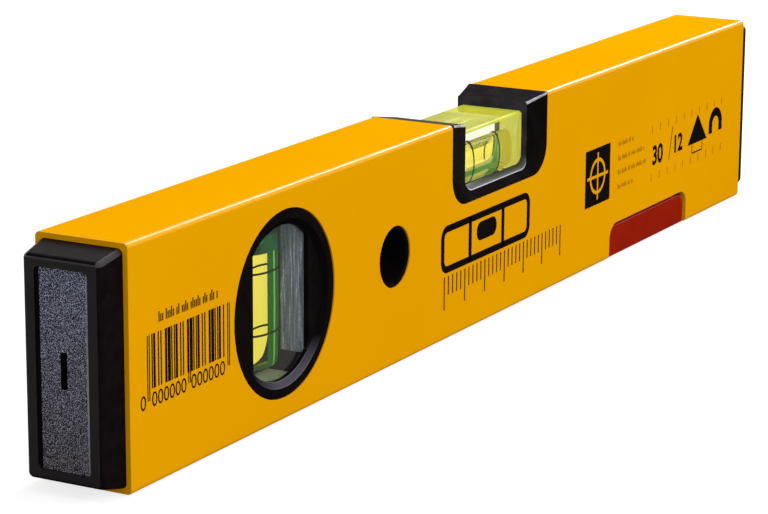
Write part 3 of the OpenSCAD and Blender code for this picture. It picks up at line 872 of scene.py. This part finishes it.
def sawn_acrylic(name, dark, light, glow=0.0):
    """The sawn ends of a block: matt and a little streaked. A glow on them is painted light."""
    finish = Finish(name)
    saw = finish.noise(0.0008, 4, stretch=(1, 1, 0.3))
    tone = finish.ramp(saw, (0.3, dark), (0.7, light))
    return finish.done(finish.shader(
        Base_Color=tone, Roughness=0.5, Specular_IOR_Level=0.1, Normal=finish.bump(saw, 0.00005),
        Emission_Color=tone, Emission_Strength=glow))


# Both sawn finishes glow with painted light: the level block's ends and the plumb block's faces above and
# below.
sawn = sawn_acrylic("sawn_acrylic", (0.50, 0.50, 0.055), (0.62, 0.62, 0.11), 0.35)
sawn_dark = sawn_acrylic("sawn_acrylic_dark", (0.14, 0.165, 0.10), (0.21, 0.24, 0.15), 0.12)
print("sawn ends:", sawn.name, sawn_dark.name)

# %% [markdown]
# The dye, and the light and shade painted into it
#
# The liquids are dyed a fluorescent yellow-green. The curved chamber gathers light in some
# places and not in others, so the eye sees bands: lemon where the light comes through, leaf green
# where it is gathered from the side, and nearly black green where none comes. Few samples and
# plain glass give such bands only in part, so these bands of light and shade are painted: the
# share and the colour of the dye are laid out by place on the front half of each liquid.
# Elsewhere the dye is thin.

# %% Lay out the dye's painted light and shade
# Colours of painted light and shade: lemon is lit, leaf and moss are light gathered from the side, pine and
# shade are shaded, and lime lies below the leaf band.
LEAF, LEMON, LIME = (0.040, 0.22, 0.020), (0.80, 0.78, 0.14), (0.52, 0.62, 0.07)
PINE, MOSS, SHADE = (0.005, 0.078, 0.010), (0.12, 0.33, 0.025), (0.003, 0.012, 0.004)
LEVEL_TINT, PLUMB_TINT, THIN = (0.965, 0.89, 0.30), (0.965, 0.89, 0.29), 0.03
# The level vial's painted bands of light and shade are laid out downwards, from a little above its axis.
BAND_TOP, BAND_DEPTH = 0.2 * MM, 5 * MM
# Its painted green beside the right mark has a soft border, which leans to the right with height.
LEAF_FROM, LEAF_SOFT, LEAF_LEAN = 3.66 * MM, 0.8 * MM, 0.62
# The plumb vial's painted stripes of light and shade are laid out across it, and its foot is painted green
# all over.
SIDE_FROM, SIDE_WIDTH, FOOT_HEIGHT = 2 * MM, 7.5 * MM, 1.3 * MM


def grey(*stops):
    """Stops of a ramp that gives a plain value."""
    return [(place, (value, value, value)) for place, value in stops]


def painted_dye_level(finish):
    """Painted light and shade: lemon in the middle, leaf green in a band low down and beside the right
    mark, lime below.
    """
    mark_low, mark_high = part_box("level_right_mark")
    aside = finish.axis("X") - (mark_low.x + mark_high.x) / 2
    height = finish.axis("Z") - (level_wet_low.z + (level_wet_high.y - level_wet_low.y) / 2)
    depth = (BAND_TOP - height) * (1 / BAND_DEPTH) + (finish.noise(0.004) - 0.5) * 0.08
    colour = finish.ramp(depth, (0.0, LEMON), (0.28, LEMON), (0.37, LEAF), (0.57, LEAF), (0.68, LIME))
    share = finish.ramp(depth, *grey(
        (0.0, 0.04), (0.06, 0.35), (0.28, 0.35), (0.37, 0.75), (0.57, 0.75), (0.68, 0.6)))
    beside = (aside - height * LEAF_LEAN + LEAF_FROM) * (1 / LEAF_SOFT)
    beside = beside.math("MINIMUM", beside.math("MAXIMUM", beside, 0.0), 1.0)
    share = share.math("MAXIMUM", share, beside * 0.7) * (finish.axis("Y") < 0.0) * (aside < 0.3 * MM)
    return finish.tint(beside, colour, (*LEAF, 1)), share.math("MAXIMUM", share, THIN)


def painted_dye_plumb(finish):
    """Painted shade: dark green on the side that is turned away from the light, with a painted paler line
    of light in it.
    """
    aside = (finish.axis("X") - plumb_middle.x + SIDE_FROM) * (1 / SIDE_WIDTH)
    colour = finish.ramp(aside, (0.0, PINE), (0.36, PINE), (0.40, MOSS), (0.45, MOSS),
                         (0.50, PINE), (0.72, PINE), (0.80, SHADE))
    share = finish.ramp(aside, *grey((0.0, THIN), (0.07, THIN), (0.11, 0.8), (1.0, 0.85)))
    low = (finish.axis("Z") < plumb_wet_low.z + FOOT_HEIGHT) * 0.8
    share = share.math("MAXIMUM", share, low) * (finish.axis("Y") < 0.0)
    return colour, share.math("MAXIMUM", share, THIN)


print("green beside the right mark starts", round(LEAF_FROM / MM, 2), "mm before it")

# %% [markdown]
# A block's faces aren't all alike. The front is polished, the top is cast and a little cloudy,
# and the roundings between them are matt. The top and the roundings have a glowing yellow body
# colour, which is painted light from the liquid. Where a liquid and a bubble share one surface,
# the liquid's own face bends no light.

# %% Mix the clear finishes
AIR, LIQUID, ACRYLIC = 1.0, 1.38, 1.49

level_acrylic = clear("level_acrylic", ACRYLIC / AIR, (0.96, 0.97, 0.80))
level_window = clear("level_window", ACRYLIC / AIR, (0.985, 0.99, 0.97))
# The roundings and the top glow yellow with painted light from the liquid.
level_rounding = clear("level_rounding", ACRYLIC / AIR, (0.93, 0.95, 0.60),
                       body=(0.52, 0.52, 0.06), share=0.6, glow=0.3, rough=0.4)
level_top = clear("level_top", ACRYLIC / AIR, (0.95, 0.97, 0.60),
                  body=(0.50, 0.50, 0.05), share=0.5, glow=0.3)
plumb_acrylic = clear("plumb_acrylic", ACRYLIC / AIR, (0.98, 0.99, 0.95))
level_painted_dye = clear("level_vial_liquid", LIQUID / ACRYLIC, LEVEL_TINT, glow=0.3, painted_dye=painted_dye_level)
plumb_painted_dye = clear("plumb_vial_liquid", LIQUID / ACRYLIC, PLUMB_TINT, glow=0.3, painted_dye=painted_dye_plumb)
# The bubble's slight blue tint paints its reflection bluish white.
gas_on_wall = clear("gas_on_wall", AIR / ACRYLIC, (0.93, 0.94, 0.99))
gas_on_wet_wall = clear("gas_on_wet_wall", AIR / ACRYLIC, (0.14, 0.50, 0.22),
                        body=(0.004, 0.12, 0.02), share=0.35, glow=0.3)
gas_on_liquid = clear("gas_on_liquid", AIR / LIQUID, (0.99, 0.99, 0.98))
shared_face = clear("shared_face", 1.0, (1, 1, 1), share=0.0)
print("index from liquid to acrylic:", round(ACRYLIC / LIQUID, 3))

# %% [markdown]
# The level vial's block
#
# This block is sawn from a cast acrylic bar and polished, and its long top edges are rounded. A
# cube is cut to its size. The two top edges are picked by place and bevelled in edit mode, and a
# fine bevel then takes the sharpness off all the others. The sawn ends are matt.

# %% Model the level vial's block
LEVEL_EDGE = 0.7 * MM


def clear_block(low, high):
    """A cube that fills a box."""
    bpy.ops.object.select_all(action="DESELECT")
    bpy.ops.mesh.primitive_cube_add(size=1, location=(low + high) / 2)
    block = bpy.context.object
    block.scale = high - low
    bpy.ops.object.transform_apply(location=True, rotation=True, scale=True)
    return block


def part_of_level_block(face):
    """1 on the sawn ends, 4 on top, 2 in front, 3 on the roundings at the top, 0 elsewhere."""
    if abs(face.normal.x) > 0.99:
        return 1
    if face.normal.z > 0.99:
        return 4
    if face.normal.y < -0.99:
        return 2
    return 3 if face.normal.z > 0.01 else 0


level_block = clear_block(level_low, level_high)
bpy.ops.object.mode_set(mode="EDIT")
bpy.ops.mesh.select_all(action="DESELECT")
bpy.ops.object.mode_set(mode="OBJECT")
for edge in level_block.data.edges:
    ends = [level_block.data.vertices[i].co for i in edge.vertices]
    edge.select = all(end.z > level_high.z - LEVEL_EDGE for end in ends) and ends[0].y == ends[1].y
bpy.ops.object.mode_set(mode="EDIT")
bpy.ops.mesh.bevel(offset=LEVEL_EDGE, segments=8)
bpy.ops.object.mode_set(mode="OBJECT")
modify(level_block, "BEVEL", width=0.15 * MM, segments=3, limit_method="ANGLE", angle_limit=radians(50))
bpy.ops.object.shade_smooth_by_angle(angle=radians(20))
modify(level_block, "WEIGHTED_NORMAL", keep_sharp=True)
settle(level_block, "level_block", "vial_acrylic",
       level_acrylic, sawn, level_window, level_rounding, level_top)
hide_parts("level_vial_block", "level_vial_plug")
for face in level_block.data.polygons:
    face.material_index = part_of_level_block(face)

# %% [markdown]
# The plumb vial's block
#
# This block is a thick disc of acrylic that is sawn along four sides, so that its corners follow
# the drum. It is made the same way: a cylinder on its side, cut by four planes that each fill
# their cut. Front and rear are polished. Resin and drum touch the sawn sides, so the block ends a
# hair inside them, or two faces would lie in one place.

# %% Model the plumb vial's block
PLUMB_CORNER_R = 18.75 * MM
HAIR = Vector((0.04 * MM, 0, 0.04 * MM))


def part_of_plumb_block(face):
    """1 on the sides that the resin shows through, 2 above and below, 0 in front and behind."""
    if abs(face.normal.x) > 0.99:
        return 1
    return 2 if abs(face.normal.y) < 0.3 else 0


bpy.ops.object.select_all(action="DESELECT")
bpy.ops.mesh.primitive_cylinder_add(
    vertices=256, radius=PLUMB_CORNER_R, depth=plumb_high.y - plumb_low.y, location=plumb_middle,
    rotation=(pi / 2, 0, 0))
plumb_block = bpy.context.object
bpy.ops.object.transform_apply(location=True, rotation=True, scale=True)
bpy.ops.object.mode_set(mode="EDIT")
for point, outward in ((plumb_low + HAIR, (-1, 0, 0)), (plumb_low + HAIR, (0, 0, -1)),
                       (plumb_high - HAIR, (1, 0, 0)), (plumb_high - HAIR, (0, 0, 1))):
    bpy.ops.mesh.select_all(action="SELECT")
    bpy.ops.mesh.bisect(plane_co=point, plane_no=outward, use_fill=True, clear_outer=True)
bpy.ops.object.mode_set(mode="OBJECT")
modify(plumb_block, "BEVEL", width=0.2 * MM, segments=3, limit_method="ANGLE", angle_limit=radians(40))
bpy.ops.object.shade_smooth_by_angle(angle=radians(20))
modify(plumb_block, "WEIGHTED_NORMAL", keep_sharp=True)
settle(plumb_block, "plumb_block", "vial_acrylic", plumb_acrylic, resin, sawn_dark)
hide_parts("plumb_vial_block", "plumb_vial_plug")
for face in plumb_block.data.polygons:
    face.material_index = part_of_plumb_block(face)

# %% [markdown]
# The chambers
#
# A chamber is ground as a barrel, a little wider in the middle, so that the bubble comes to rest
# there. That shape is the liquid's own outline, so it is written as a formula: a point of the
# wall lies on a large arc along the chamber, and the closed end has a round shoulder.

# %% Write the chamber's outline
BARREL_R, SHOULDER_R = 230 * MM, 1.5 * MM


def wall_radius(radius, x):
    """The radius of a chamber at a place along it, given its radius in the middle."""
    return radius - BARREL_R + sqrt(BARREL_R ** 2 - x * x)


def barrel(radius, length, steps=20):
    """Stations of a barrel-shaped chamber along X, its middle at zero."""
    half = length / 2
    end_radius = wall_radius(radius, half)
    shoulder = [(-half + SHOULDER_R * (1 - cos(turn)), end_radius - SHOULDER_R * (1 - sin(turn)))
                for turn in (radians(t) for t in range(0, 91, 15))]
    straight = [-half + SHOULDER_R + (length - SHOULDER_R) * i / steps for i in range(1, steps + 1)]
    return shoulder + [(x, wall_radius(radius, x)) for x in straight]


def twin(piece):
    """A second piece of the same shape."""
    copy = piece.copy()
    copy.data = piece.data.copy()
    bpy.context.scene.collection.objects.link(copy)
    return copy


level_r, level_length = (level_wet_high.y - level_wet_low.y) / 2, level_wet_high.x - level_wet_low.x
plumb_r, plumb_length = (plumb_wet_high.y - plumb_wet_low.y) / 2, 28 * MM
narrowing = level_r - wall_radius(level_r, level_length / 2)
print("the level vial's chamber narrows by", round(narrowing / MM, 2), "mm to each end")

# %% [markdown]
# The level vial's liquid and bubble
#
# The bubble lies along the top of the chamber. It is a capsule that the chamber's wall cuts off,
# and the same capsule is cut out of the liquid, so the two fit without a gap. A face that lies on
# the wall gets the finish for gas or liquid on acrylic, and the other faces are the surface that
# gas and liquid share.

# %% Model the level vial's liquid and bubble
BUBBLE_R, BUBBLE_DEPTH, BUBBLE_SPAN = 3.6 * MM, 2.4 * MM, 4.4 * MM


def near_level_wall(face):
    """True on the chamber's wall and on its ends, before the piece is moved to its place."""
    on_barrel = face.center.yz.length > wall_radius(level_r, face.center.x) - 0.03 * MM
    return on_barrel or abs(face.center.x) > level_length / 2 - 0.3 * MM


capsule = [(-BUBBLE_SPAN / 2 - BUBBLE_R * cos(radians(t)), BUBBLE_R * sin(radians(t)))
           for t in range(3, 91, 3)]
capsule += [(-x, r) for x, r in reversed(capsule)]
level_liquid = turned(barrel(level_r, level_length))
bubble = turned(capsule)
bubble.location = (0, 0, level_r - BUBBLE_DEPTH + BUBBLE_R)
pick(bubble)
bpy.ops.object.transform_apply(location=True)
chamber, hollow = twin(level_liquid), twin(bubble)
modify(level_liquid, "BOOLEAN", operation="DIFFERENCE", object=hollow, solver="EXACT")
modify(bubble, "BOOLEAN", operation="INTERSECT", object=chamber, solver="EXACT")
for spare in (chamber, hollow):
    bpy.data.objects.remove(spare)

for piece, name, finishes in ((level_liquid, "level_liquid", (level_painted_dye, shared_face)),
                              (bubble, "level_bubble", (gas_on_wall, gas_on_liquid))):
    piece.location = ((level_low.x + level_high.x) / 2, 0, level_wet_low.z + level_r)
    on_wall = [near_level_wall(face) for face in piece.data.polygons]
    pick(piece)
    bpy.ops.object.shade_smooth_by_angle(angle=radians(30))
    settle(piece, name, "vial_liquid", *finishes)
    for face, walled in zip(piece.data.polygons, on_wall):
        face.material_index = 0 if walled else 1
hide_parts("level_vial_liquid")

# %% [markdown]
# The plumb vial's liquid and gas
#
# This vial stands upright, so its gas lies on top of the liquid. One plane parts them: the same
# barrel is turned upright twice, and the plane keeps the lower part of one and the upper part of
# the other.

# %% Model the plumb vial's liquid and gas
gas_floor = plumb_wet_high.z - plumb_middle.z
for name, keep_low, finishes in (("plumb_liquid", True, (plumb_painted_dye, shared_face)),
                                 ("plumb_gas", False, (gas_on_wet_wall, gas_on_liquid))):
    piece = turned(barrel(plumb_r, plumb_length))
    piece.rotation_euler = (0, -pi / 2, 0)
    bpy.ops.object.transform_apply(rotation=True)
    bpy.ops.object.mode_set(mode="EDIT")
    bpy.ops.mesh.select_all(action="SELECT")
    bpy.ops.mesh.bisect(plane_co=(0, 0, gas_floor), plane_no=(0, 0, 1), use_fill=True,
                        clear_outer=keep_low, clear_inner=not keep_low)
    bpy.ops.object.mode_set(mode="OBJECT")
    bpy.ops.object.shade_smooth_by_angle(angle=radians(30))
    flat = [abs(face.center.z - gas_floor) < 0.01 * MM for face in piece.data.polygons]
    piece.location = (plumb_middle.x, 0, plumb_middle.z)
    settle(piece, name, "vial_liquid", *finishes)
    for face, on_gas in zip(piece.data.polygons, flat):
        face.material_index = int(on_gas)
    if keep_low:
        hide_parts("plumb_vial_liquid")

# %% [markdown]
# The print
#
# The print on the front is screen-printed ink, a few hundredths of a millimetre thick. A picture
# on the face would blur in close views, so it is made of flat shapes with that thickness, at
# places given in millimetres. Every sign is built from bars, round spots and rounded rectangles.

# %% Write the helpers for flat shapes
INK = 0.03 * MM
PRINT_Y = face_y - INK / 2


def bar(x, z, width, height):
    """A rectangle of ink from its lower left corner."""
    bpy.ops.mesh.primitive_cube_add(size=1, location=((x + width / 2) * MM, PRINT_Y, (z + height / 2) * MM))
    piece = bpy.context.object
    piece.scale = (width * MM, INK, height * MM)
    return piece


def join(*pieces):
    """Joins pieces into one mesh."""
    pick(pieces[0])
    for piece in pieces:
        piece.select_set(True)
    bpy.ops.object.join()
    bpy.ops.object.transform_apply(location=True, rotation=True, scale=True)
    return bpy.context.object


def dot(x, z, radius, thick=INK):
    """A round spot of ink."""
    bpy.ops.mesh.primitive_cylinder_add(vertices=48, radius=radius * MM, depth=thick,
                                        location=(x * MM, PRINT_Y, z * MM), rotation=(pi / 2, 0, 0))
    return bpy.context.object


def rounded(x, z, width, height, radius, thick=INK):
    """A rectangle with round corners: the hull of four round spots."""
    corners = [dot(x + dx, z + dz, radius, thick)
               for dx in (radius, width - radius) for dz in (radius, height - radius)]
    piece = join(*corners)
    bpy.ops.object.mode_set(mode="EDIT")
    bpy.ops.mesh.select_all(action="SELECT")
    bpy.ops.mesh.convex_hull()
    bpy.ops.object.mode_set(mode="OBJECT")
    return piece


def outline(x, z, width, height, radius, stroke):
    """The outline of a rounded rectangle, drawn with a stroke."""
    inside = rounded(
        x + stroke, z + stroke, width - 2 * stroke, height - 2 * stroke, radius - stroke, 3 * INK)
    return cut(rounded(x, z, width, height, radius), inside)

# %% [markdown]
# Figures are text that is made a mesh. Fine print can't be read from this distance, and it looks
# like rows of small upright strokes in groups, so that is how it is drawn.

# %% Write the helpers for figures and fine print
CAP_HEIGHT_SHARE = 0.7


def figures(words, x, z, height, weight=0.0, stretch=1.0):
    """Plain figures whose lower left corner is at a place. Weight makes them bolder."""
    bpy.ops.object.text_add(location=(x * MM, PRINT_Y, z * MM), rotation=(pi / 2, 0, 0))
    piece = bpy.context.object
    piece.data.body, piece.data.size, piece.data.extrude = words, height * MM / CAP_HEIGHT_SHARE, INK / 2
    piece.data.offset = weight * MM
    piece.scale = (stretch, 1, 1)
    bpy.ops.object.convert(target="MESH")
    return bpy.context.object


def dashes(x, z, length, height, words=(3, 5, 2, 4, 6, 3)):
    """A row of small upright strokes in groups. Every third one is taller."""
    pitch, width, low_share = 0.62, 0.36, 0.7
    made, at, turn = [], 0.0, 0
    while at < length:
        for _ in range(words[turn % len(words)]):
            if at < length:
                made.append(bar(x + at, z, width, height * (low_share if len(made) % 3 else 1.0)))
            at += pitch
        at, turn = at + pitch, turn + 1
    return join(*made)


def stamp(piece, name, finish=ink):
    """Settles a print as ink."""
    return settle(piece, name, "ink", finish)

# %% [markdown]
# At the left is a field of bars with zeros under it and a line of dashes over it. The widths come
# from a short list that repeats, so the bars say nothing. Three pairs of bars are longer.

# %% Print the bars
BARS_X, BARS_Z, BARS_W, BARS_H, BARS_DROP = -144.1, 19.2, 29.3, 10.7, 2.2
WIDTHS = (1, 1, 2, 3, 1, 2, 1, 4, 2, 1, 3, 1, 1, 2)
# The field is counted in modules, and ink makes each bar spread by a part of one.
MODULES, MARGIN, SPREAD = 95, 5, 0.3
MODULE = BARS_W / MODULES
ZEROS_Z, ZEROS_H = 15.6, 2.9

strokes, at, turn = [], MARGIN, 0
while at < MODULES - MARGIN:
    width = WIDTHS[turn % len(WIDTHS)]
    if turn % 2 == 0:
        strokes.append(bar(BARS_X + at * MODULE, BARS_Z, (width + SPREAD) * MODULE, BARS_H))
    at, turn = at + width, turn + 1
for place in (0, 2, 46, 48, 92, 94):
    strokes.append(bar(BARS_X + place * MODULE, BARS_Z - BARS_DROP, MODULE, BARS_H + BARS_DROP))
stamp(join(*strokes), "print_bars")
zeros = join(figures("0", -146.6, ZEROS_Z, ZEROS_H),
             figures("000000", -142.7, ZEROS_Z, ZEROS_H, stretch=0.98),
             figures("000000", -129.0, ZEROS_Z, ZEROS_H))
stamp(zeros, "print_zeros")
stamp(dashes(-140.0, 31.7, 21.0, 2.1), "print_left_dashes")

# %% [markdown]
# The middle has a large sign of a vial, which stands for what the tool does, and a scale of
# ticks under it. The dark field is solid ink with a ring and a cross-hair left open.

# %% Print the signs in the middle
SIGN_Z, SIGN_H, LINE_W = 15.6, 11.0, 1.5
vial_sign = join(outline(-26.0, SIGN_Z, 44.8, SIGN_H, 3.0, 1.6), bar(-12.6, SIGN_Z, LINE_W, SIGN_H),
                 bar(3.9, SIGN_Z, LINE_W, SIGN_H), rounded(-8.6, 19.8, 10.0, 4.4, 2.1))
stamp(vial_sign, "print_vial")

SCALE_X, SCALE_TOP, SCALE_STEP, LONG_TICK, SHORT_TICK = -24.5, 14.8, 2, 7.6, 4.4
ticks = []
for count in range(31):
    height = SHORT_TICK if count % 5 else LONG_TICK
    ticks.append(bar(SCALE_X + SCALE_STEP * count, SCALE_TOP - height, 0.45, height))
stamp(join(*ticks), "print_scale")

FIELD = (49.6, 15.8, 14.4, 14.4)
RING_R, RING_INNER_R, BEAM, BEAM_W = 4.6, 3.7, 12.0, 0.8
field = rounded(*FIELD, 0.3)
cross_x, cross_z = FIELD[0] + FIELD[2] / 2, FIELD[1] + FIELD[3] / 2
ring = cut(dot(cross_x, cross_z, RING_R, 3 * INK), dot(cross_x, cross_z, RING_INNER_R, 5 * INK))
beams = [bar(cross_x - BEAM / 2, cross_z - BEAM_W / 2, BEAM, BEAM_W),
         bar(cross_x - BEAM_W / 2, cross_z - BEAM / 2, BEAM_W, BEAM)]
for beam in beams:
    beam.scale.y = 7 * INK
stamp(cut(field, ring, *beams), "print_field")

# %% [markdown]
# At the right are fine lines in a paler ink, two rows of ticks, the length in centimetres and in
# inches as plain numbers, a triangle over a small box, and a horseshoe for the magnet.

# %% Print the signs at the right
FINE_LINES = ((28.3, 9.0), (24.6, 15.5), (21.0, 17.0), (17.3, 9.0))
TICKS_X, TICKS_STEP, TICKS_ROWS = 89.6, 5.13, (28.0, 15.3)
faint = ink_finish("faint_ink", 0.30, 0.13, 0.002)
stamp(join(*[dashes(68.9, z, length, 1.3) for z, length in FINE_LINES]), "print_fine_lines", faint)
rows = [bar(TICKS_X + TICKS_STEP * count, z, 0.35, 2.0) for count in range(10) for z in TICKS_ROWS]
stamp(join(*rows), "print_ticks", faint)

SLASH = 8.8
slash = bar(-0.15, -SLASH / 2, 0.3, SLASH)
slash.rotation_euler.y = radians(14)
slash.location = (101.9 * MM, PRINT_Y, 23.4 * MM)
numbers = join(figures("30", 90.0, 19.6, 4.8, 0.2), slash, figures("12", 103.3, 20.4, 4.5, 0.2))
stamp(numbers, "print_numbers")

bpy.ops.mesh.primitive_cylinder_add(
    vertices=3, radius=7.4 * MM, depth=INK, location=(119.6 * MM, PRINT_Y, 23.0 * MM),
    rotation=(pi / 2, 0, 0))
triangle = bpy.context.object
triangle.scale.y = 0.68
stamp(join(triangle, outline(116.0, 17.8, 7.2, 3.0, 0.5, 0.35)), "print_triangle")

HORSESHOE_FOOT = 21.2 * MM
horseshoe = outline(127.4, 16.3, 9.0, 11.5, 4.49, 2.3)
bpy.ops.object.mode_set(mode="EDIT")
bpy.ops.mesh.select_all(action="SELECT")
bpy.ops.mesh.bisect(plane_co=(0, 0, HORSESHOE_FOOT), plane_no=(0, 0, -1), use_fill=True, clear_outer=True)
bpy.ops.object.mode_set(mode="OBJECT")
stamp(horseshoe, "print_horseshoe")

# %% [markdown]
# Sizes
#
# How far each corner of the dressed level's box moved from the box of the solids is printed, so
# that the two can be compared.

# %% Compare the boxes and finish
new_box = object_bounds()
for corner, old, new in zip(("low", "high"), cad_box, new_box):
    print(corner, "corner moved by mm:", [round((b - a) / MM, 3) for a, b in zip(old, new)])
